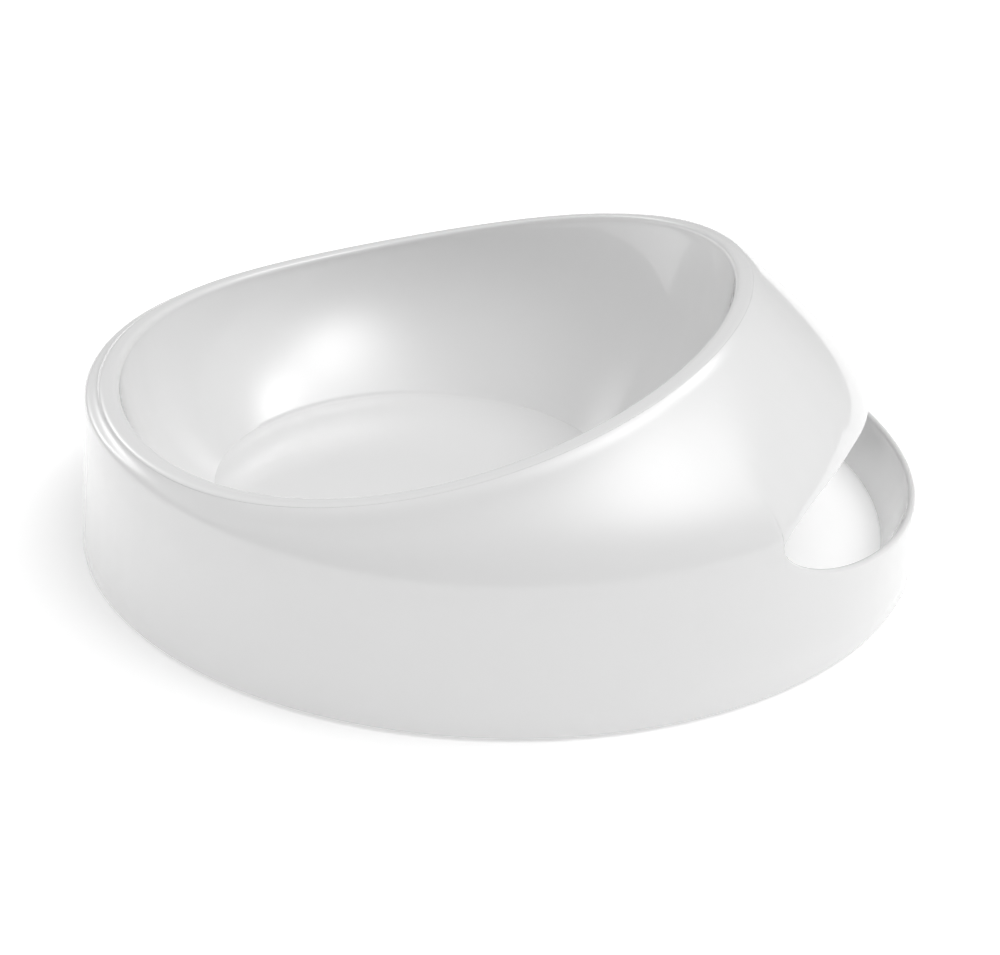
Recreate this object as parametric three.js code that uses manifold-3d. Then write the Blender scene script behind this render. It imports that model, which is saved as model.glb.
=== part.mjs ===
// Round bedpan with a tilted oval mouth and a loop handle: an open-bottomed outer shell, a basin
// whose rolled lip hangs on the shell's top edge, and four non-slip feet pressed in under the shell.
// Millimetres, +Z up. +X points to the handle and the high end of the mouth, -X to the low front.
import * as THREE from "three";
import { mergeVertices } from "three/addons/utils/BufferGeometryUtils.js";
import Module from "manifold-3d";

// ---- driving dimensions ----
const BASE_R = 145; // outer radius of the skirt where it meets the table
const DRAFT = 0.1476; // how far the skirt leans in for each mm of height
const WALL = 2.5; // wall thickness of both mouldings
const GAP = 0.3; // fitting gap between two pieces

const LIP_FRONT = 15; // how far inside the base circle the lip stands at the front
const LIP_SIDE = 23; // and at both sides
const MOUTH_X = -26; // centre of the oval mouth, ahead of the base centre
const MOUTH_A = BASE_R - LIP_FRONT + MOUTH_X; // half length of the mouth, to the middle of the lip
const MOUTH_B = BASE_R - LIP_SIDE; // half width of the mouth
const LIP_W = 3.3; // half width of the rolled lip
const LIP_H = 2.9; // height of its flat top above the middle of the lip
const LIP_ROUND = 0.6; // 1 would make the lip round, less makes its top flatter
const LAP = 2.6; // how far the basin hooks down inside the shell's rim
const LAP_TOP = 0.6; // height of the hook's root above the middle of the lip
const REBATE = WALL - LIP_W + 1.2; // where the hook stands, outside the middle of the lip
const LIP_Z = 55.6; // height of the lip at the sides
const LIP_TILT = 20.4; // rise of the lip from the side to the back
const LIP_BEND = 11.1; // extra rise at both ends of the mouth
const LIP_TWIST = -3.2; // what is taken off that rise at the back

const FLOOR_X = -30; // centre of the round basin floor
const FLARE = 32.5; // how much longer the mouth is than the floor, at each end
const FLOOR_R = MOUTH_A - FLARE;
const FLOOR_GAP = 2.1; // room under the basin floor
const FLOOR_Z = WALL + FLOOR_GAP; // top of the floor above the shell's lower edge

const OPEN_ANGLE = 56.9; // half angle of the handle opening
const OPEN_MID_Z = 42.5; // height of its rounded corners
const BAND_Z = 19.3; // height of the handle band in the middle
const BAND_RISE = 0.0037; // rise of the band's top per square degree
const HOOD_Z = 48; // height of the hood's free edge
const BAND_FOOT = 11; // width of the hollow handle band on the table
const BAND_TIP = 1.4; // how far the band's top is rounded
const BAND_SKIN = 2.2; // thickness of the band's inner wall on the table
const BAND_ROOF = 6; // depth of solid plastic under the band's top
const BAND_APEX = 0.9; // width of the hollow at its top
const CORNER_POWER = 9; // how square the corners of the opening are

const FOOT_R = 5; // radius of a non-slip foot
const FOOT_OUT = 1; // how far a foot stands out below the shell
const FOOT_IN = 2.7; // how far it goes up into its boss
const FOOT_ANGLES = { left: [74, 146], right: [-74, -146] };
const BOSS_WALL = 1.9; // plastic round a foot
const BOSS_ROOF = 6; // plastic above a foot
const BOSS_SKIN = 1; // how far a boss stays inside the outside of the skirt
const BOSS_R = FOOT_R + GAP + BOSS_WALL;
const BOSS_H = FOOT_IN + GAP + BOSS_ROOF;
const FOOT_CIRCLE = BASE_R - DRAFT * BOSS_H - BOSS_R - BOSS_SKIN;

const OPEN_STEPS = 32; // stations across the handle opening
const RING_STEPS = 60; // stations round the rest of the ring
const BASIN_STEPS = 96;

const rad = (d) => (d * Math.PI) / 180;
const mix = (a, b, k) => a + (b - a) * k;
const clamp01 = (k) => Math.min(1, Math.max(0, k));
const smooth = (a, b, x) => {
  const k = clamp01((x - a) / (b - a));
  return k * k * (3 - 2 * k);
};

// Reads a smooth curve through rows of [angle, value] pairs, level at both ends, for -180 to 180.
function along(rows, angle) {
  const a = Math.abs(angle);
  const i = Math.max(1, rows.findIndex((r) => r[0] >= a));
  const slope = (n) => {
    if (n === 0 || n === rows.length - 1) return 0;
    return (rows[n + 1][1] - rows[n - 1][1]) / (rows[n + 1][0] - rows[n - 1][0]);
  };
  const [x0, y0] = rows[i - 1];
  const [x1, y1] = rows[i];
  const w = x1 - x0;
  const k = (a - x0) / w;
  const lead = w * k * (1 - k) * ((1 - k) * slope(i - 1) - k * slope(i));
  return mix(y0, y1, k * k * (3 - 2 * k)) + lead;
}

// The k between 0 and 1 at which a rising function reaches the value.
function parameterAt(value, rising) {
  let lo = 0;
  let hi = 1;
  for (let i = 0; i < 60; i++) {
    const mid = (lo + hi) / 2;
    if (rising(mid) < value) lo = mid;
    else hi = mid;
  }
  return lo;
}

// ---- the mouth ----
const lipHeight = (u) => LIP_Z + LIP_TILT * u + LIP_BEND * u * u + LIP_TWIST * u * u * u;

// Middle of the lip at parameter t, with the level direction that points straight out of the mouth.
function lipAt(t) {
  const c = Math.cos(t);
  const s = Math.sin(t);
  const n = new THREE.Vector2(c / MOUTH_A, s / MOUTH_B).normalize();
  return { x: MOUTH_X + MOUTH_A * c, y: MOUTH_B * s, z: lipHeight(c), nx: n.x, ny: n.y };
}

// Point at distance s outside the middle of the lip, at height z.
const outward = (lip, s, z) => new THREE.Vector3(lip.x + s * lip.nx, lip.y + s * lip.ny, z);

// Distance from the middle of the lip to the circle of radius r round the base centre.
function reach(lip, r) {
  const level = lip.x * lip.nx + lip.y * lip.ny;
  return -level + Math.sqrt(level ** 2 - lip.x ** 2 - lip.y ** 2 + r * r);
}

// ---- stations round the ring, named by the angle at which they meet the skirt ----
function angleOf(t) {
  const lip = lipAt(t);
  const p = outward(lip, reach(lip, BASE_R - DRAFT * OPEN_MID_Z), 0);
  return (Math.atan2(p.y, p.x) * 180) / Math.PI;
}

const parameterFor = (angle) =>
  Math.sign(angle) * Math.PI * parameterAt(Math.abs(angle), (k) => angleOf(Math.PI * k));

function stations() {
  const list = [];
  for (let i = 0; i <= OPEN_STEPS; i++) {
    const k = Math.sin(((i / OPEN_STEPS) * 2 - 1) * (Math.PI / 2));
    list.push({ angle: OPEN_ANGLE * k, open: i > 0 && i < OPEN_STEPS, edge: true });
  }
  for (let i = 1; i < RING_STEPS; i++) {
    const a = OPEN_ANGLE + ((360 - 2 * OPEN_ANGLE) * i) / RING_STEPS;
    list.push({ angle: a > 180 ? a - 360 : a, open: false, edge: false });
  }
  for (const s of list) s.lip = lipAt(parameterFor(s.angle));
  return list;
}

// ---- outer shell ----
// Rows of [angle from the handle, value] round the shell: how far round the lip's outside, in
// degrees above level, the lip meets the shell, size of the fillet from there, slope of
// the shell below that fillet, how far below the middle of the lip the skirt starts to bend inwards,
// and the reach of the bend down and up from there.
const LIP_END = [[0, 60], [90, 58], [112, 48], [126, 38], [138, 36], [180, 36]];
const LIP_FILLET = [
  [0, 1.8], [57, 1.8], [90, 2], [112, 2], [126, 1.5], [138, 1.1], [150, 1.2], [180, 1.3],
];
const LIP_SLOPE = [[0, 36], [55, 40], [90, 50], [112, 56], [126, 50], [138, 26], [150, 9], [180, 7]];
const BEND_DROP = [
  [0, 38.9], [57, 31], [90, 20.2], [112, 10.6], [126, 4.6], [138, 3], [150, 2.5], [180, 2.6],
];
const BEND_LOW = [[0, 9], [57, 11], [90, 10], [112, 5], [126, 2], [138, 2], [150, 2], [180, 2]];
const BEND_HIGH = [
  [0, 20], [57, 18], [90, 7], [112, 3.5], [126, 1.7], [138, 1.4], [150, 1.8], [180, 2.4],
];
// Rows of [share of OPEN_ANGLE, how far the hood stands inside the line of the skirt].
const HOOD_INSET = [
  [0, 14.6], [0.49, 14.6], [0.63, 12.7], [0.755, 9.5], [0.85, 6.2], [0.94, 2.3], [1.01, 0], [9, 0],
];

const cornerShape = (a) =>
  Math.sqrt(Math.max(0, 1 - clamp01(Math.abs(a) / OPEN_ANGLE) ** CORNER_POWER));
const bandTop = (a) => mix(OPEN_MID_Z, BAND_Z + BAND_RISE * a * a, cornerShape(a));
const hoodEdge = (a) => mix(OPEN_MID_Z, HOOD_Z, cornerShape(a));

// Point on the outline of the lip, and the direction of that outline down its outside.
const lipEdge = (a) => [
  LIP_W * Math.sign(Math.cos(a)) * Math.abs(Math.cos(a)) ** LIP_ROUND,
  LIP_H * Math.sin(a) ** LIP_ROUND,
];
const lipDown = (a) => new THREE.Vector2(
  LIP_W * Math.sin(a) * Math.cos(a) ** (LIP_ROUND - 1),
  -LIP_H * Math.cos(a) * Math.sin(a) ** (LIP_ROUND - 1),
).normalize();

// Fillet from the shell's slope up to its rim under the lip, as three control points [s, z].
function lipFoot({ lip, angle }) {
  const slope = rad(along(LIP_SLOPE, angle));
  const size = along(LIP_FILLET, angle);
  const end = rad(along(LIP_END, angle));
  const [s, z] = lipEdge(end);
  const down = lipDown(end);
  const rim = [s + GAP * down.x, lip.z + z + GAP * down.y];
  const corner = [rim[0] + size * down.x, rim[1] + size * down.y];
  const run = 1.3 * size;
  const start = [corner[0] + run * Math.cos(slope), corner[1] - run * Math.sin(slope)];
  return { start, corner, rim };
}

// Outside of the upper wall from height z0 to the foot of the lip, as [s, z] pairs.
function upperOutside({ lip, angle }, z0) {
  const inside = along(HOOD_INSET, angle / OPEN_ANGLE);
  const wallAt = (z) => [reach(lip, BASE_R - DRAFT * z - inside), z];
  const zs = lip.z - along(BEND_DROP, angle);
  const start = wallAt(zs);
  const low = along(BEND_LOW, angle);
  const high = along(BEND_HIGH, angle);
  const slope = rad(along(LIP_SLOPE, angle));
  const top = lipFoot({ lip, angle }).start;
  const curve = new THREE.CubicBezierCurve(
    new THREE.Vector2(...start),
    new THREE.Vector2(start[0] - DRAFT * low, zs + low),
    new THREE.Vector2(top[0] + high * Math.cos(slope), top[1] - high * Math.sin(slope)),
    new THREE.Vector2(...top),
  );
  const pair = (k) => {
    const p = curve.getPoint(k);
    return [p.x, p.y];
  };
  if (z0 <= zs) return [wallAt(z0), ...[...Array(10).keys()].map((i) => pair(i / 9))];
  const cut = parameterAt(z0, (k) => pair(k)[1]);
  return [...Array(11).keys()].map((i) => pair(mix(cut, 1, i / 10)));
}

// The same line moved inwards by the wall thickness.
function inset(line, distance) {
  return withoutLoop(line.map(([s, z], i) => {
    const [s0, z0] = line[Math.max(0, i - 1)];
    const [s1, z1] = line[Math.min(line.length - 1, i + 1)];
    const n = new THREE.Vector2(z1 - z0, s0 - s1).normalize();
    return [s - distance * n.x, z - distance * n.y];
  }));
}

// Where segment a-b meets segment c-d, or null.
function crossing([ax, ay], [bx, by], [cx, cy], [dx, dy]) {
  const w = (bx - ax) * (dy - cy) - (by - ay) * (dx - cx);
  if (Math.abs(w) < 1e-12) return null;
  const k = ((cx - ax) * (dy - cy) - (cy - ay) * (dx - cx)) / w;
  const m = ((cx - ax) * (by - ay) - (cy - ay) * (bx - ax)) / w;
  return k >= 0 && k <= 1 && m >= 0 && m <= 1 ? [mix(ax, bx, k), mix(ay, by, k)] : null;
}

// Cuts out the loop that a line makes where it is moved further than its bend is wide, and spreads
// the same number of points over what is left.
function withoutLoop(line) {
  for (let i = 0; i < line.length - 3; i++) {
    for (let j = line.length - 2; j > i + 1; j--) {
      const p = crossing(line[i], line[i + 1], line[j], line[j + 1]);
      if (p) return spread([...line.slice(0, i + 1), p, ...line.slice(j + 1)], line.length);
    }
  }
  return line;
}

function spread(line, count) {
  const path = new THREE.CurvePath();
  line.slice(1).forEach((p, i) => {
    path.add(new THREE.LineCurve(new THREE.Vector2(...line[i]), new THREE.Vector2(...p)));
  });
  return [...Array(count).keys()].map((i) => path.getPoint(i / (count - 1)).toArray());
}

// Half-round line from one [s, z] point to another, bulging towards dir (+1 up, -1 down).
function rounded([s0, z0], [s1, z1], dir) {
  const points = [];
  for (let i = 1; i < 4; i++) {
    const k = (i * Math.PI) / 4;
    const bulge = dir * 0.5 * Math.hypot(s1 - s0, z1 - z0) * Math.sin(k);
    const m = (1 - Math.cos(k)) / 2;
    points.push([mix(s0, s1, m), mix(z0, z1, m) + bulge]);
  }
  return points;
}

// The chains of points that make up one section of the shell.
function shellSection(station) {
  const { lip, angle, open } = station;
  const a = Math.abs(angle);
  const at = ([s, z]) => outward(lip, s, z);
  const inRing = a <= OPEN_ANGLE + 1e-6;
  const away = smooth(OPEN_ANGLE, OPEN_ANGLE + 22, a);
  const zLow = inRing ? bandTop(angle) : mix(OPEN_MID_Z, 30, away);
  const zHigh = inRing ? hoodEdge(angle) : zLow;
  const wall = (z, depth) => [reach(lip, BASE_R - DRAFT * z - depth), z];

  // the lower wall, which opens out into the hollow handle band between the opening's corners
  const opened = 1 - smooth(OPEN_ANGLE - 6, OPEN_ANGLE + 14, a);
  const web = opened < 0.03 ? 0 : opened;
  const tip = open ? BAND_TIP * cornerShape(angle) : 0;
  const foot = mix(WALL, BAND_FOOT, web);
  const outerLow = [wall(0, 0), wall(zLow - tip, 0)];
  const innerLow = [wall(zLow - tip, WALL), wall(0, foot)];
  const hollow = [wall(0, mix(WALL, BAND_FOOT - BAND_SKIN, web))];
  if (web > 0) hollow.push(wall(mix(0, zLow - BAND_ROOF, web), mix(WALL, WALL + BAND_APEX, web)));
  else hollow.push(wall(0, WALL));
  hollow.push(wall(0, WALL));

  const outerHigh = upperOutside(station, zHigh);
  if (!open) outerHigh[0] = outerLow[1];
  const innerHigh = inset(outerHigh, WALL);
  if (!open) innerHigh[0] = innerLow[0];
  else innerHigh[0] = [innerHigh[0][0], zHigh];
  const under = innerHigh[innerHigh.length - 1];
  const { start, corner, rim } = lipFoot(station);
  const fillet = new THREE.QuadraticBezierCurve(
    ...[start, corner, rim].map((p) => new THREE.Vector2(...p)),
  );
  const edge = [1 / 3, 2 / 3, 1].map((k) => fillet.getPoint(k).toArray());
  edge.push([REBATE + GAP, lip.z + LAP_TOP - GAP], [REBATE + GAP, under[1] + GAP]);
  const bandLip = open ? rounded(outerLow[1], innerLow[0], 1) : [];
  const hoodLip = open ? rounded(outerHigh[0], innerHigh[0], -0.4) : [];
  if (inRing && !open) {
    for (let i = 1; i < 4; i++) {
      const m = (1 - Math.cos((i * Math.PI) / 4)) / 2;
      const p = [mix(outerLow[1][0], innerLow[0][0], m), outerLow[1][1]];
      bandLip.push(p);
      hoodLip.push(p);
    }
  }
  const high = [...outerHigh, ...edge, ...[...innerHigh].reverse()];
  const low = [...innerLow, ...hollow, ...outerLow];
  return {
    high: high.map(at),
    low: low.map(at),
    band: [outerLow[1], ...bandLip, innerLow[0]].map(at),
    hood: [innerHigh[0], ...[...hoodLip].reverse(), outerHigh[0]].map(at),
  };
}

// Skin between neighbouring lines of points.
function skin(triangles, lineA, lineB) {
  for (let j = 0; j + 1 < lineA.length; j++) {
    const [a, b, c, d] = [lineA[j], lineB[j], lineB[j + 1], lineA[j + 1]];
    triangles.push([a, b, c], [a, c, d]);
  }
}

function outerShell(ring) {
  const triangles = [];
  const sections = ring.map(shellSection);
  ring.forEach((s, i) => {
    const k = (i + 1) % ring.length;
    const [one, two] = [sections[i], sections[k]];
    skin(triangles, one.high, two.high);
    skin(triangles, one.low, two.low);
    if (s.edge && ring[k].edge) {
      skin(triangles, one.band, two.band);
      skin(triangles, one.hood, two.hood);
    }
  });
  return closedGeometry(triangles);
}

// ---- basin ----
// Inside of the basin wall at station lip, k = 0 at the lip and 1 at the edge of the floor.
function basinWall(lip, t, k) {
  const top = outward(lip, -LIP_W, lip.z);
  const end = new THREE.Vector3(
    FLOOR_X + FLOOR_R * Math.cos(t),
    FLOOR_R * Math.sin(t),
    FLOOR_Z,
  );
  const drop = top.z - end.z;
  const near = new THREE.Vector3(mix(top.x, end.x, 0.1), mix(top.y, end.y, 0.1), top.z - 0.45 * drop);
  const far = new THREE.Vector3(mix(end.x, top.x, 0.42), mix(end.y, top.y, 0.42), end.z + 0.22 * drop);
  return new THREE.CubicBezierCurve3(top, near, far, end).getPoint(k);
}

function basinSection(t) {
  const lip = lipAt(t);
  const at = ([s, z]) => outward(lip, s, lip.z + z);
  const points = [new THREE.Vector3(FLOOR_X, 0, FLOOR_Z)];
  const steps = 8;
  const normals = [];
  for (let i = 0; i <= steps; i++) {
    const k = 1 - i / steps;
    points.push(basinWall(lip, t, k));
    const e = 1e-3;
    const down = basinWall(lip, t, clamp01(k + e)).sub(basinWall(lip, t, clamp01(k - e)));
    const [l0, l1] = [lipAt(t - e), lipAt(t + e)];
    const round = basinWall(l1, t + e, k).sub(basinWall(l0, t - e, k));
    normals.push(new THREE.Vector3().crossVectors(down, round).normalize());
  }
  const wall = points.slice(1);
  const end = rad(along(LIP_END, angleOf(t)));
  for (let i = 1; i <= 8; i++) {
    points.push(at(lipEdge(mix(Math.PI, end, i / 8))));
  }
  points.push(at([REBATE, LAP_TOP]), at([REBATE, -LAP]));
  const last = steps - 1;
  for (let i = last; i >= 0; i--) {
    points.push(wall[i].clone().addScaledVector(normals[i], i ? WALL : 0).setZ(
      i ? wall[i].z + normals[i].z * WALL : FLOOR_Z - WALL,
    ));
  }
  points.push(new THREE.Vector3(FLOOR_X, 0, FLOOR_Z - WALL));
  return points.reverse();
}

function basin() {
  const triangles = [];
  const sections = [];
  for (let i = 0; i < BASIN_STEPS; i++) sections.push(basinSection((2 * Math.PI * i) / BASIN_STEPS));
  sections.forEach((one, i) => skin(triangles, one, sections[(i + 1) % BASIN_STEPS]));
  return closedGeometry(triangles);
}

// ---- feet ----
function upright(radius, z0, z1, angle) {
  const g = new THREE.CylinderGeometry(radius, radius, z1 - z0, 32);
  g.rotateX(Math.PI / 2);
  const a = rad(angle);
  g.translate(FOOT_CIRCLE * Math.cos(a), FOOT_CIRCLE * Math.sin(a), (z0 + z1) / 2);
  return g;
}

// ---- geometry helpers ----
// Joins triangles at the points they share and leaves out those that shrink to a line by it.
function closedGeometry(triangles) {
  const joined = mergeVertices(new THREE.BufferGeometry().setFromPoints(triangles.flat()), 1e-3);
  const index = joined.index.array;
  const kept = [];
  for (let i = 0; i < index.length; i += 3) {
    const [a, b, c] = index.slice(i, i + 3);
    if (a !== b && b !== c && c !== a) kept.push(a, b, c);
  }
  return joined.setIndex(kept);
}

const wasm = await Module();
wasm.setup();

function toSolid(geometry) {
  const g = geometry.clone();
  g.deleteAttribute("normal");
  g.deleteAttribute("uv");
  const m = mergeVertices(g, 1e-3);
  return new wasm.Manifold(
    new wasm.Mesh({
      numProp: 3,
      vertProperties: m.attributes.position.array,
      triVerts: new Uint32Array(m.index.array),
    }),
  );
}

function toGeometry(solid) {
  const m = solid.getMesh();
  const g = new THREE.BufferGeometry();
  g.setAttribute("position", new THREE.BufferAttribute(m.vertProperties, 3));
  g.setIndex(new THREE.BufferAttribute(m.triVerts, 1));
  const soft = g.toNonIndexed();
  soft.computeVertexNormals();
  return soft;
}

// ---- assembly ----
const plastic = new THREE.MeshStandardMaterial({ color: 0xf2f3f3, roughness: 0.22, metalness: 0 });
const rubber = new THREE.MeshStandardMaterial({ color: 0xb9bbbd, roughness: 0.85, metalness: 0 });

const part = new THREE.Group();
part.name = "bedpan";

function add(name, geometry, material) {
  const mesh = new THREE.Mesh(geometry, material);
  mesh.name = name;
  mesh.position.z = FOOT_OUT;
  part.add(mesh);
}

const ring = stations();
let shell = toSolid(outerShell(ring));
for (const [side, angles] of Object.entries(FOOT_ANGLES)) {
  angles.forEach((angle, i) => {
    shell = shell.add(toSolid(upright(BOSS_R, 0, BOSS_H, angle)));
    shell = shell.subtract(toSolid(upright(FOOT_R + GAP, -1, FOOT_IN + GAP, angle)));
    add(`foot_${i ? "front" : "back"}_${side}`, upright(FOOT_R, -FOOT_OUT, FOOT_IN, angle), rubber);
  });
}
add("outer_shell", toGeometry(shell), plastic);
add("basin", toGeometry(toSolid(basin())), plastic);

export default part;
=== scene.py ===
"""Looks of the round bedpan: fine meshes for the two mouldings, glossy plastic, studio light."""
import math

import bmesh
import bpy
import numpy as np
from mathutils import Matrix, Vector


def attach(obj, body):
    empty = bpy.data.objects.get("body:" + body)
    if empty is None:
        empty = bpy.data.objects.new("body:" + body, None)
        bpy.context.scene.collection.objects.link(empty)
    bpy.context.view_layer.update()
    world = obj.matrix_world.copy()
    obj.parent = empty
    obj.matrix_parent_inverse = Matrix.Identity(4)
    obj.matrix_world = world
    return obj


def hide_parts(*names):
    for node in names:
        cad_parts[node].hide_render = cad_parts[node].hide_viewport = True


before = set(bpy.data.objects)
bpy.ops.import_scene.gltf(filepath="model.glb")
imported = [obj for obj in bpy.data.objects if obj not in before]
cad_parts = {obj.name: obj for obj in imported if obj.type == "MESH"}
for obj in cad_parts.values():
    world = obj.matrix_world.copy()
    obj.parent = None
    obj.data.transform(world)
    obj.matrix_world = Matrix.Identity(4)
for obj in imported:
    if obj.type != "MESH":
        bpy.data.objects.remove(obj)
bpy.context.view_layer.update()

# ---- sizes of the CAD part, in millimetres ----
BASE_R, DRAFT, WALL = 145.0, 0.1476, 2.5
MOUTH_X, MOUTH_A, MOUTH_B = -26.0, 104.0, 122.0
LIP_W, LIP_H, LIP_ROUND, LAP, LAP_TOP, REBATE, SEAM = 3.3, 2.9, 0.6, 2.6, 0.6, 0.4, 0.04
LIP_Z, LIP_TILT, LIP_BEND, LIP_TWIST = 55.6, 20.4, 11.1, -3.2
FLOOR_X, FLOOR_R, FLOOR_Z = -30.0, 71.5, 4.6
OPEN_ANGLE, OPEN_MID_Z, CORNER_POWER = 56.9, 42.5, 9
BAND_Z, BAND_RISE, BAND_FOOT, BAND_TIP, BAND_SKIN = 19.3, 0.0037, 11.0, 1.4, 2.2
BAND_ROOF, BAND_APEX, HOOD_Z = 6.0, 0.9, 48.0
SPLIT_Z, SPLIT_RUN = 30.0, 22  # height of the line between upper and lower wall, away from the opening
BASE_EDGE = [(0.0, 0.5), (0.12, 0.14)]  # softened lower edge: height and distance inside the skirt
FOOT_OUT, MM = 1.0, 0.001
# rows of (share of OPEN_ANGLE, distance), and below it rows of (angle from the handle, value)
HOOD_INSET = [(0, 14.6), (0.49, 14.6), (0.63, 12.7), (0.755, 9.5),
              (0.85, 6.2), (0.94, 2.3), (1.01, 0), (9, 0)]
LIP_END = [(0, 60), (90, 58), (112, 48), (126, 38), (138, 36), (180, 36)]
LIP_FILLET = [(0, 1.8), (57, 1.8), (90, 2), (112, 2), (126, 1.5), (138, 1.1), (150, 1.2), (180, 1.3)]
LIP_SLOPE = [(0, 36), (55, 40), (90, 50), (112, 56), (126, 50), (138, 26), (150, 9), (180, 7)]
BEND_DROP = [(0, 38.9), (57, 31), (90, 20.2), (112, 10.6), (126, 4.6), (138, 3), (150, 2.5), (180, 2.6)]
BEND_LOW = [(0, 9), (57, 11), (90, 10), (112, 5), (126, 2), (138, 2), (150, 2), (180, 2)]
BEND_HIGH = [(0, 20), (57, 18), (90, 7), (112, 3.5), (126, 1.7), (138, 1.4), (150, 1.8), (180, 2.4)]
FOOT_ANGLES, FOOT_CIRCLE = (74, 146, -74, -146), 135.47
BOSS_PROFILE = [(0, 9), (7.2, 9), (7.2, 0), (5.3, 0), (5.3, 3), (0, 3)]
OPEN_STEPS, RING_STEPS, BASIN_STEPS = 200, 380, 480
SHARP = math.radians(38)  # edges above this angle stay crisp


def mix(a, b, k):
    return a + (b - a) * k


def smooth(a, b, x):
    k = min(1.0, max(0.0, (x - a) / (b - a)))
    return k * k * (3 - 2 * k)


def along(rows, angle):
    """Reads a smooth curve through rows of (place, value), level at both ends."""
    a = abs(angle)
    i = max(1, next(n for n, r in enumerate(rows) if r[0] >= a - 1e-9))

    def slope(n):
        if n in (0, len(rows) - 1):
            return 0.0
        return (rows[n + 1][1] - rows[n - 1][1]) / (rows[n + 1][0] - rows[n - 1][0])

    (x0, y0), (x1, y1) = rows[i - 1], rows[i]
    w = x1 - x0
    k = (a - x0) / w
    lead = w * k * (1 - k) * ((1 - k) * slope(i - 1) - k * slope(i))
    return mix(y0, y1, k * k * (3 - 2 * k)) + lead


def parameter_at(value, rising):
    """The k between 0 and 1 at which a rising function reaches the value."""
    lo, hi = 0.0, 1.0
    for _ in range(50):
        mid = (lo + hi) / 2
        if rising(mid) < value:
            lo = mid
        else:
            hi = mid
    return lo


class Lip:
    """Middle of the lip at parameter t, with the level direction straight out of the mouth."""

    def __init__(self, t):
        c, s = math.cos(t), math.sin(t)
        n = Vector((c / MOUTH_A, s / MOUTH_B)).normalized()
        self.x, self.y = MOUTH_X + MOUTH_A * c, MOUTH_B * s
        self.z = LIP_Z + LIP_TILT * c + LIP_BEND * c * c + LIP_TWIST * c ** 3
        self.nx, self.ny = n.x, n.y

    def at(self, s, z):
        return (self.x + s * self.nx, self.y + s * self.ny, z)

    def reach(self, r):
        """Distance from the middle of the lip to the circle of radius r round the base centre."""
        d = self.x * self.nx + self.y * self.ny
        return -d + math.sqrt(d * d - self.x ** 2 - self.y ** 2 + r * r)


def angle_of(t):
    """Angle from the handle at which the section of lip parameter t meets the skirt."""
    lip = Lip(t)
    p = lip.at(lip.reach(BASE_R - DRAFT * OPEN_MID_Z), 0)
    return math.degrees(math.atan2(p[1], p[0]))


def lip_for(angle):
    k = parameter_at(abs(angle), lambda k: angle_of(math.pi * k))
    return Lip(math.copysign(math.pi * k, angle))


def bezier(points, k):
    """Points at the parameters k of the cubic curve with four control points."""
    k = np.asarray(k, float)[:, None]
    p = np.asarray(points, float)
    m = 1 - k
    return m ** 3 * p[0] + 3 * m * m * k * p[1] + 3 * m * k * k * p[2] + k ** 3 * p[3]


# ---- outer shell ----
def corner_shape(a):
    """1 in the middle of the handle opening, falling to 0 at its rounded corners."""
    return math.sqrt(max(0.0, 1 - min(1.0, abs(a) / OPEN_ANGLE) ** CORNER_POWER))


def lip_edge(a):
    """Point of the lip's outline at angle a above level, from the middle of the lip."""
    c = math.cos(a)
    return LIP_W * math.copysign(abs(c) ** LIP_ROUND, c), LIP_H * max(0.0, math.sin(a)) ** LIP_ROUND


def lip_foot(lip, angle):
    """Fillet from the shell's slope up to the seam under the lip: start, corner and end."""
    slope, size = math.radians(along(LIP_SLOPE, angle)), along(LIP_FILLET, angle)
    end = math.radians(along(LIP_END, angle))
    c, s = math.cos(end), math.sin(end)
    down = Vector((LIP_W * s * c ** (LIP_ROUND - 1), -LIP_H * c * s ** (LIP_ROUND - 1))).normalized()
    edge = lip_edge(end)
    seam = (edge[0] + SEAM * down.x, lip.z + edge[1] + SEAM * down.y)
    corner = (seam[0] + size * down.x, seam[1] + size * down.y)
    start = (corner[0] + 1.3 * size * math.cos(slope), corner[1] - 1.3 * size * math.sin(slope))
    return np.array(start), np.array(corner), np.array(seam)


def upper_outside(lip, angle, z0):
    """Outside of the upper wall from height z0 to the foot of the lip, as (s, z) points."""
    inset = along(HOOD_INSET, angle / OPEN_ANGLE)

    def wall_at(z):
        return (lip.reach(BASE_R - DRAFT * z - inset), z)

    zs = lip.z - along(BEND_DROP, angle)
    start = wall_at(zs)
    low, high = along(BEND_LOW, angle), along(BEND_HIGH, angle)
    slope = math.radians(along(LIP_SLOPE, angle))
    top = lip_foot(lip, angle)[0]
    handles = [start, (start[0] - DRAFT * low, zs + low),
               (top[0] + high * math.cos(slope), top[1] - high * math.sin(slope)), top]
    if z0 <= zs:
        wall = [wall_at(z) for z in np.linspace(z0, zs, 5)[:-1]]
        return np.vstack([wall, bezier(handles, np.linspace(0, 1, 29))])
    cut = parameter_at(z0, lambda k: bezier(handles, [k])[0][1])
    return bezier(handles, np.linspace(cut, 1, 33))


def inset_line(line, distance):
    """The same line moved inwards."""
    d = np.gradient(line, axis=0)
    n = np.stack([d[:, 1], -d[:, 0]], 1)
    n /= np.linalg.norm(n, axis=1)[:, None]
    return without_loop(line - distance * n)


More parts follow.
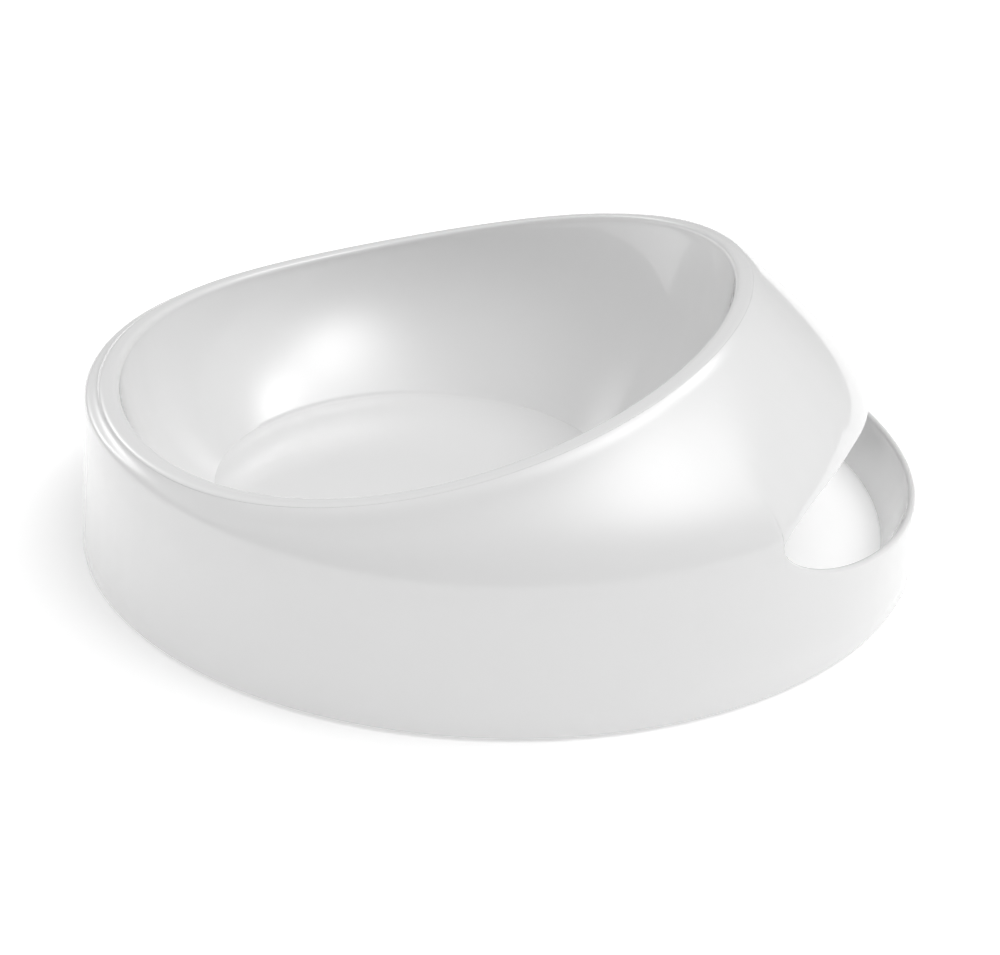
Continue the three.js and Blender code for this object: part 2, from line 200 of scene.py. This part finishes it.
def without_loop(line):
    """Cuts out the loop of a line moved further than its bend is wide, with as many points after."""
    a, d = line[:-1], np.diff(line, axis=0)
    for i in range(len(a) - 2):
        for j in range(len(a) - 1, i + 1, -1):
            w = d[i][0] * d[j][1] - d[i][1] * d[j][0]
            if abs(w) < 1e-12:
                continue
            r = a[j] - a[i]
            k = (r[0] * d[j][1] - r[1] * d[j][0]) / w
            m = (r[0] * d[i][1] - r[1] * d[i][0]) / w
            if 0 <= k <= 1 and 0 <= m <= 1:
                cut = np.vstack([line[:i + 1], [a[i] + k * d[i]], line[j + 1:]])
                way = np.r_[0, np.cumsum(np.linalg.norm(np.diff(cut, axis=0), axis=1))]
                at = np.linspace(0, way[-1], len(line))
                return np.stack([np.interp(at, way, cut[:, 0]), np.interp(at, way, cut[:, 1])], 1)
    return line


def rounded(p, q, dir_, steps=8):
    """Points between p and q on a half-round that bulges upwards by dir_ times its radius."""
    k = np.arange(1, steps) * math.pi / steps
    m = (1 - np.cos(k)) / 2
    bulge = dir_ * 0.5 * math.hypot(q[0] - p[0], q[1] - p[1]) * np.sin(k)
    return np.stack([mix(p[0], q[0], m), mix(p[1], q[1], m) + bulge], 1)


def shell_section(lip, angle, opened):
    """The chains of points of one section through the shell."""
    a = abs(angle)
    in_ring = a <= OPEN_ANGLE + 1e-6
    shape = corner_shape(angle)
    if in_ring:
        z_low = mix(OPEN_MID_Z, BAND_Z + BAND_RISE * a * a, shape)
        z_high = mix(OPEN_MID_Z, HOOD_Z, shape)
    else:
        z_low = z_high = mix(OPEN_MID_Z, SPLIT_Z, smooth(OPEN_ANGLE, OPEN_ANGLE + SPLIT_RUN, a))

    def wall(z, depth):
        return (lip.reach(BASE_R - DRAFT * z - depth), z)

    # how far the lower wall opens out into the hollow handle band
    web = 1 - smooth(OPEN_ANGLE - 6, OPEN_ANGLE + 14, a)
    web = 0.0 if web < 0.03 else web
    tip = BAND_TIP * shape if opened else 0.0
    foot = mix(WALL, BAND_FOOT, web)
    top = z_low - tip
    outer_low = [wall(*p) for p in BASE_EDGE] + [wall(z, 0) for z in np.linspace(0.5, top, 6)]
    inner_low = [wall(top - k * top, mix(WALL, foot, k)) for k in np.linspace(0, 1, 6)]
    hollow = [wall(0, mix(WALL, BAND_FOOT - BAND_SKIN, web)),
              wall(mix(0, z_low - BAND_ROOF, web), mix(WALL, WALL + BAND_APEX, web)), wall(0, WALL)]
    outer_high = upper_outside(lip, angle, z_high)
    if not opened:
        outer_high[0] = outer_low[-1]
    inner_high = inset_line(outer_high, WALL)
    inner_high[0] = (inner_high[0][0], z_high) if opened else inner_low[0]
    under = inner_high[-1]
    start, corner, seam = lip_foot(lip, angle)
    k = np.linspace(0, 1, 9)[1:, None]
    fillet = (1 - k) ** 2 * start + 2 * k * (1 - k) * corner + k * k * seam
    rim = [*fillet, (REBATE + SEAM, lip.z + LAP_TOP - SEAM), (REBATE + SEAM, under[1] + 0.3)]
    if opened:
        band_lip = rounded(outer_low[-1], inner_low[0], 1)
        hood_lip = rounded(outer_high[0], inner_high[0], -0.6)
    else:
        band_lip = hood_lip = rounded(outer_low[-1], inner_low[0], 0)
    chains = {
        "high": [*outer_high, *rim, *inner_high[::-1]],
        "low": [*inner_low, *hollow, *outer_low],
        "band": [outer_low[-1], *band_lip, inner_low[0]],
        "hood": [inner_high[0], *hood_lip[::-1], outer_high[0]],
    }
    return {k: np.array([lip.at(s, z) for s, z in v]) for k, v in chains.items()}


def skin(faces, points, one, two):
    """Adds quads between two neighbouring lines of points."""
    base = sum(len(p) for p in points)
    n = len(one)
    points += [one, two]
    for j in range(n - 1):
        faces.append((base + j, base + n + j, base + n + j + 1, base + j + 1))


def mesh_piece(name, points, faces):
    """One clean, smooth-shaded mesh object from points in millimetres above the shell's lower edge."""
    co = np.vstack(points) * MM
    co[:, 2] += FOOT_OUT * MM
    mesh = bpy.data.meshes.new(name)
    mesh.from_pydata(co.tolist(), [], faces)
    mesh.validate()
    bm = bmesh.new()
    bm.from_mesh(mesh)
    bmesh.ops.remove_doubles(bm, verts=bm.verts, dist=2e-6)
    bmesh.ops.dissolve_degenerate(bm, edges=bm.edges, dist=1e-6)
    bmesh.ops.recalc_face_normals(bm, faces=bm.faces)
    bm.to_mesh(mesh)
    bm.free()
    mesh.shade_smooth()
    mesh.set_sharp_from_angle(angle=SHARP)
    obj = bpy.data.objects.new(name, mesh)
    bpy.context.scene.collection.objects.link(obj)
    return obj


def add_boss(faces, points, angle):
    """Round boss under the shell, with the blind hole that takes a foot."""
    a = math.radians(angle)
    x, y = FOOT_CIRCLE * math.cos(a), FOOT_CIRCLE * math.sin(a)
    turns = np.radians(np.arange(0, 361, 6))
    lines = [np.array([(x + r * math.cos(b), y + r * math.sin(b), z) for r, z in BOSS_PROFILE])
             for b in turns]
    for one, two in zip(lines, lines[1:]):
        skin(faces, points, one, two)


def build_shell():
    ring = []  # for each section: angle, whether it is open, whether it borders the opening
    for i in range(OPEN_STEPS + 1):
        t = i / OPEN_STEPS * 2 - 1
        k = mix(t, math.sin(t * math.pi / 2), 0.9)
        ring.append((OPEN_ANGLE * k, 0 < i < OPEN_STEPS, True))
    for i in range(1, RING_STEPS):
        a = OPEN_ANGLE + (360 - 2 * OPEN_ANGLE) * i / RING_STEPS
        ring.append((a - 360 if a > 180 else a, False, False))
    sections = [shell_section(lip_for(a), a, o) for a, o, _ in ring]
    points, faces = [], []
    for i, (_, _, edge) in enumerate(ring):
        k = (i + 1) % len(ring)
        names = ("high", "low", "band", "hood") if edge and ring[k][2] else ("high", "low")
        for n in names:
            skin(faces, points, sections[i][n], sections[k][n])
    for angle in FOOT_ANGLES:
        add_boss(faces, points, angle)
    return mesh_piece("shell_moulding", points, faces)


# ---- basin ----
def basin_wall(t, k):
    """Inside of the basin's wall at lip parameter t, k = 0 at the lip and 1 at the floor."""
    lip = Lip(t)
    top = np.array(lip.at(-LIP_W, lip.z))
    end = np.array([FLOOR_X + FLOOR_R * math.cos(t), FLOOR_R * math.sin(t), FLOOR_Z])
    drop = top[2] - end[2]
    near, far = mix(top, end, 0.1), mix(end, top, 0.42)
    near[2], far[2] = top[2] - 0.45 * drop, end[2] + 0.22 * drop
    return bezier([top, near, far, end], k)


def basin_section(t):
    """Closed line round half a section of the basin: floor, wall, lip, hook, outside, underside."""
    lip = Lip(t)
    k = np.linspace(1, 0, 41)
    e = 1e-3
    wall = basin_wall(t, k)
    down = basin_wall(t, np.clip(k + e, 0, 1)) - basin_wall(t, np.clip(k - e, 0, 1))
    around = basin_wall(t + e, k) - basin_wall(t - e, k)
    n = np.cross(down, around)
    n /= np.linalg.norm(n, axis=1)[:, None]
    outer = wall + n * WALL
    outer[0] = (wall[0][0], wall[0][1], FLOOR_Z - WALL)
    end = math.radians(along(LIP_END, angle_of(t)))
    bead = [lip_edge(v) for v in np.linspace(math.pi, end, 57)[1:]]
    bead = [lip.at(p[0], lip.z + p[1]) for p in bead]
    hook = [lip.at(REBATE, lip.z + LAP_TOP), lip.at(REBATE, lip.z - LAP)]
    edge = wall[0]
    floor = [(mix(FLOOR_X, edge[0], m), edge[1] * m, FLOOR_Z) for m in (0, 0.3, 0.6, 0.85, 0.95)]
    under = [(p[0], p[1], FLOOR_Z - WALL) for p in floor[::-1]]
    return np.array([*floor, *wall, *bead, *hook, *outer[::-1], *under])


def build_basin():
    points, faces = [], []
    sections = [basin_section(2 * math.pi * i / BASIN_STEPS) for i in range(BASIN_STEPS)]
    for i, one in enumerate(sections):
        skin(faces, points, one, sections[(i + 1) % BASIN_STEPS])
    return mesh_piece("basin_moulding", points, faces)


# ---- materials ----
def new_material(name):
    mat = bpy.data.materials.new(name)
    mat.use_nodes = True
    return mat, mat.node_tree.nodes, mat.node_tree.links, mat.node_tree.nodes["Principled BSDF"]


def noise(nodes, links, place, scale, detail):
    node = nodes.new("ShaderNodeTexNoise")
    node.inputs["Scale"].default_value = scale
    node.inputs["Detail"].default_value = detail
    links.new(place, node.inputs["Vector"])
    return node.outputs["Fac"]


def tinted(nodes, links, value, dark, light):
    ramp = nodes.new("ShaderNodeValToRGB")
    ramp.color_ramp.elements[0].color = (*dark, 1)
    ramp.color_ramp.elements[1].color = (*light, 1)
    links.new(value, ramp.inputs["Fac"])
    return ramp.outputs["Color"]


def mapped(nodes, links, value, source, target):
    node = nodes.new("ShaderNodeMapRange")
    node.inputs["From Min"].default_value, node.inputs["From Max"].default_value = source
    node.inputs["To Min"].default_value, node.inputs["To Max"].default_value = target
    links.new(value, node.inputs["Value"])
    return node.outputs["Result"]


def bumped(nodes, links, height, strength, distance):
    node = nodes.new("ShaderNodeBump")
    node.inputs["Strength"].default_value = strength
    node.inputs["Distance"].default_value = distance
    links.new(height, node.inputs["Height"])
    return node


def plastic(name, colour, roughness):
    mat, nodes, links, bsdf = new_material(name)
    bsdf.inputs["IOR"].default_value = 1.49
    bsdf.inputs["Coat Weight"].default_value = 0.85
    bsdf.inputs["Coat Roughness"].default_value = 0.04
    place = nodes.new("ShaderNodeTexCoord").outputs["Object"]

    # faint cloudiness of the moulded plastic, with a few dark specks of dust
    cloud = tinted(nodes, links, noise(nodes, links, place, 9, 4), [c * 0.97 for c in colour], colour)
    dust = nodes.new("ShaderNodeTexVoronoi")
    dust.inputs["Scale"].default_value = 14
    links.new(place, dust.inputs["Vector"])
    dusted = nodes.new("ShaderNodeVectorMath")
    dusted.operation = "SCALE"
    links.new(cloud, dusted.inputs[0])
    speck = mapped(nodes, links, dust.outputs["Distance"], (0.010, 0.014), (0.45, 1))
    links.new(speck, dusted.inputs["Scale"])
    links.new(dusted.outputs["Vector"], bsdf.inputs["Base Color"])

    # handling marks: roughness that varies
    wear = noise(nodes, links, place, 26, 6)
    rough = mapped(nodes, links, wear, (0, 1), (roughness * 0.75, roughness * 1.25))
    links.new(rough, bsdf.inputs["Roughness"])

    # slight orange peel of the gloss, and hairline scratches where a stretched noise is highest
    peel = bumped(nodes, links, noise(nodes, links, place, 160, 2), 0.05, 0.0002)
    lay = nodes.new("ShaderNodeMapping")
    lay.inputs["Rotation"].default_value = (0.3, 0.5, 0.7)
    lay.inputs["Scale"].default_value = (9, 130, 60)
    links.new(place, lay.inputs["Vector"])
    hair = noise(nodes, links, lay.outputs["Vector"], 1, 0)
    scratch = bumped(nodes, links, mapped(nodes, links, hair, (0.715, 0.735), (0, 1)), 0.12, 0.0001)
    links.new(peel.outputs["Normal"], scratch.inputs["Normal"])
    links.new(scratch.outputs["Normal"], bsdf.inputs["Normal"])
    return mat


def rubber(name):
    mat, nodes, links, bsdf = new_material(name)
    bsdf.inputs["Roughness"].default_value = 0.8
    place = nodes.new("ShaderNodeTexCoord").outputs["Object"]
    grain = noise(nodes, links, place, 900, 2)
    tint = tinted(nodes, links, grain, (0.19, 0.195, 0.2), (0.26, 0.265, 0.27))
    links.new(tint, bsdf.inputs["Base Color"])
    links.new(bumped(nodes, links, grain, 0.3, 0.0001).outputs["Normal"], bsdf.inputs["Normal"])
    return mat


# ---- the object ----
shell = build_shell()
basin = build_basin()
for piece, node, slot, mat in (
    (shell, "outer_shell", "shell_plastic", plastic("shell_gloss", (0.85, 0.85, 0.85), 0.22)),
    (basin, "basin", "basin_plastic", plastic("basin_gloss", (0.85, 0.85, 0.85), 0.20)),
):
    piece.data.materials.append(mat)
    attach(piece, "root")
    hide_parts(node)
foot_mat = rubber("foot_rubber_matt")
for name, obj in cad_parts.items():
    if name.startswith("foot_"):
        obj.data.materials.clear()
        obj.data.materials.append(foot_mat)

# ---- stage ----
floor_mesh = bpy.data.meshes.new("floor")
floor_mesh.from_pydata([(-12, -12, 0), (12, -12, 0), (12, 12, 0), (-12, 12, 0)], [], [(0, 1, 2, 3)])
floor = bpy.data.objects.new("floor", floor_mesh)
bpy.context.scene.collection.objects.link(floor)
floor_mat, _, _, floor_bsdf = new_material("floor_white")
floor_bsdf.inputs["Base Color"].default_value = (0.93, 0.93, 0.93, 1)
floor_bsdf.inputs["Roughness"].default_value = 0.9
floor_bsdf.inputs["Emission Color"].default_value = (1, 1, 1, 1)
floor_bsdf.inputs["Emission Strength"].default_value = 0.24
floor.data.materials.append(floor_mat)

world = bpy.data.worlds.new("studio")
bpy.context.scene.world = world
world.use_nodes = True
nodes, links = world.node_tree.nodes, world.node_tree.links
sky = nodes["Background"]
sky.inputs["Color"].default_value = (1, 1, 1, 1)
coords = nodes.new("ShaderNodeTexCoord")
split = nodes.new("ShaderNodeSeparateXYZ")
links.new(coords.outputs["Generated"], split.inputs["Vector"])

# the plain sky is brightest near the horizon
sweep = nodes.new("ShaderNodeMapRange")
sweep.interpolation_type = "SMOOTHSTEP"
sweep.inputs["From Min"].default_value, sweep.inputs["From Max"].default_value = 0.0, 1.0
sweep.inputs["To Min"].default_value, sweep.inputs["To Max"].default_value = 0.47, 0.32
links.new(split.outputs["Z"], sweep.inputs["Value"])
total = sweep.outputs["Result"]


def soft_light(azimuth, elevation, width, strength):
    """A round light without edges at infinity: strength in the middle, 1/e of it at the width."""
    global total
    a, e = math.radians(azimuth), math.radians(elevation)
    dot = nodes.new("ShaderNodeVectorMath")
    dot.operation = "DOT_PRODUCT"
    links.new(coords.outputs["Generated"], dot.inputs[0])
    dot.inputs[1].default_value = (math.cos(e) * math.cos(a), math.cos(e) * math.sin(a), math.sin(e))
    fall = nodes.new("ShaderNodeMath")
    fall.operation = "MULTIPLY_ADD"
    sharp = 2 / math.radians(width) ** 2
    links.new(dot.outputs["Value"], fall.inputs[0])
    fall.inputs[1].default_value, fall.inputs[2].default_value = sharp, -sharp
    glow = nodes.new("ShaderNodeMath")
    glow.operation = "EXPONENT"
    links.new(fall.outputs[0], glow.inputs[0])
    add = nodes.new("ShaderNodeMath")
    add.operation = "MULTIPLY_ADD"
    links.new(glow.outputs[0], add.inputs[0])
    add.inputs[1].default_value = strength
    links.new(total, add.inputs[2])
    total = add.outputs[0]


soft_light(0, 66, 18, 4.2)
soft_light(35, 50, 9, 3.5)
soft_light(185, 55, 30, 0.5)
soft_light(20, 28, 28, 0.4)
soft_light(138, 27, 10, 2.8)
links.new(total, sky.inputs["Strength"])

# ---- camera ----
ELEVATION, ROLL = math.radians(27.24), math.radians(1.51)
DISTANCE, FOCAL = 0.450, 44.6004
back = Vector((0, -math.cos(ELEVATION), math.sin(ELEVATION)))
right = Vector((1, 0, 0))
up = back.cross(right)
cam_x = math.cos(ROLL) * right + math.sin(ROLL) * up
cam_y = -math.sin(ROLL) * right + math.cos(ROLL) * up
camera = bpy.data.cameras.new("camera")
camera.sensor_width = 36
camera.lens = FOCAL
camera.shift_x, camera.shift_y = 0.0007, 0.0059
camera.clip_start, camera.clip_end = 0.01, 60
cam = bpy.data.objects.new("camera", camera)
place = back * DISTANCE + Vector((0, 0, FOOT_OUT * MM))
cam.matrix_world = Matrix((
    (cam_x.x, cam_y.x, back.x, place.x),
    (cam_x.y, cam_y.y, back.y, place.y),
    (cam_x.z, cam_y.z, back.z, place.z),
    (0, 0, 0, 1),
))
bpy.context.scene.collection.objects.link(cam)
bpy.context.scene.camera = cam
bpy.context.scene.view_settings.view_transform = "Standard"
